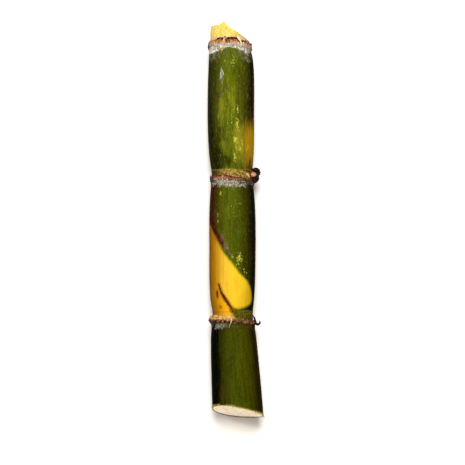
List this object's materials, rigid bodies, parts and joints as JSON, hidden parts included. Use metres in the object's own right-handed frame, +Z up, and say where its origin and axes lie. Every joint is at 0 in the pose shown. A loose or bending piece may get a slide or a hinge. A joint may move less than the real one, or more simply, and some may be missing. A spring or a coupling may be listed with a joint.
{
  "type": "sugarcane stalk",
  "caption": "Cut length of sugar cane lying on its side, with ringed nodes, dry leaf sheath collars, side buds, a slanting cut at the base and a snapped tip.",
  "frame": {"origin": "on the table under the middle of the stalk's box", "axes": "+Y along the stalk from its cut base to its snapped tip, +Z up from the table, +X to the side of the middle bud"},
  "size_m": [0.0474, 0.3371, 0.0419],
  "materials": {
    "cane_rind": "waxy green and yellow rind, satin",
    "dry_sheath": "dry papery brown sheath, matt",
    "dry_bud": "dry brown bud scales, matt",
    "fresh_bud": "smooth fleshy bud, satin",
    "dark_scale": "blackened shrivelled scale, matt",
    "pale_fibre": "dry straw fibre, matt"
  },
  "bodies": {
    "root": {"cane": "cane_rind", "sheath_collar_base_node": "dry_sheath", "sheath_collar_middle_node": "dry_sheath", "sheath_collar_tip_node": "dry_sheath", "bud_base_node": "dry_bud", "bud_middle_node": "fresh_bud", "bud_tip_node": "dry_bud", "bud_scale_middle_node": "dark_scale", "sheath_fibre_base_node": "pale_fibre", "sheath_fibre_tip_left": "pale_fibre", "sheath_fibre_tip_right": "pale_fibre", "sheath_splinter_base_node": "dark_scale"}
  },
  "joints": []
}
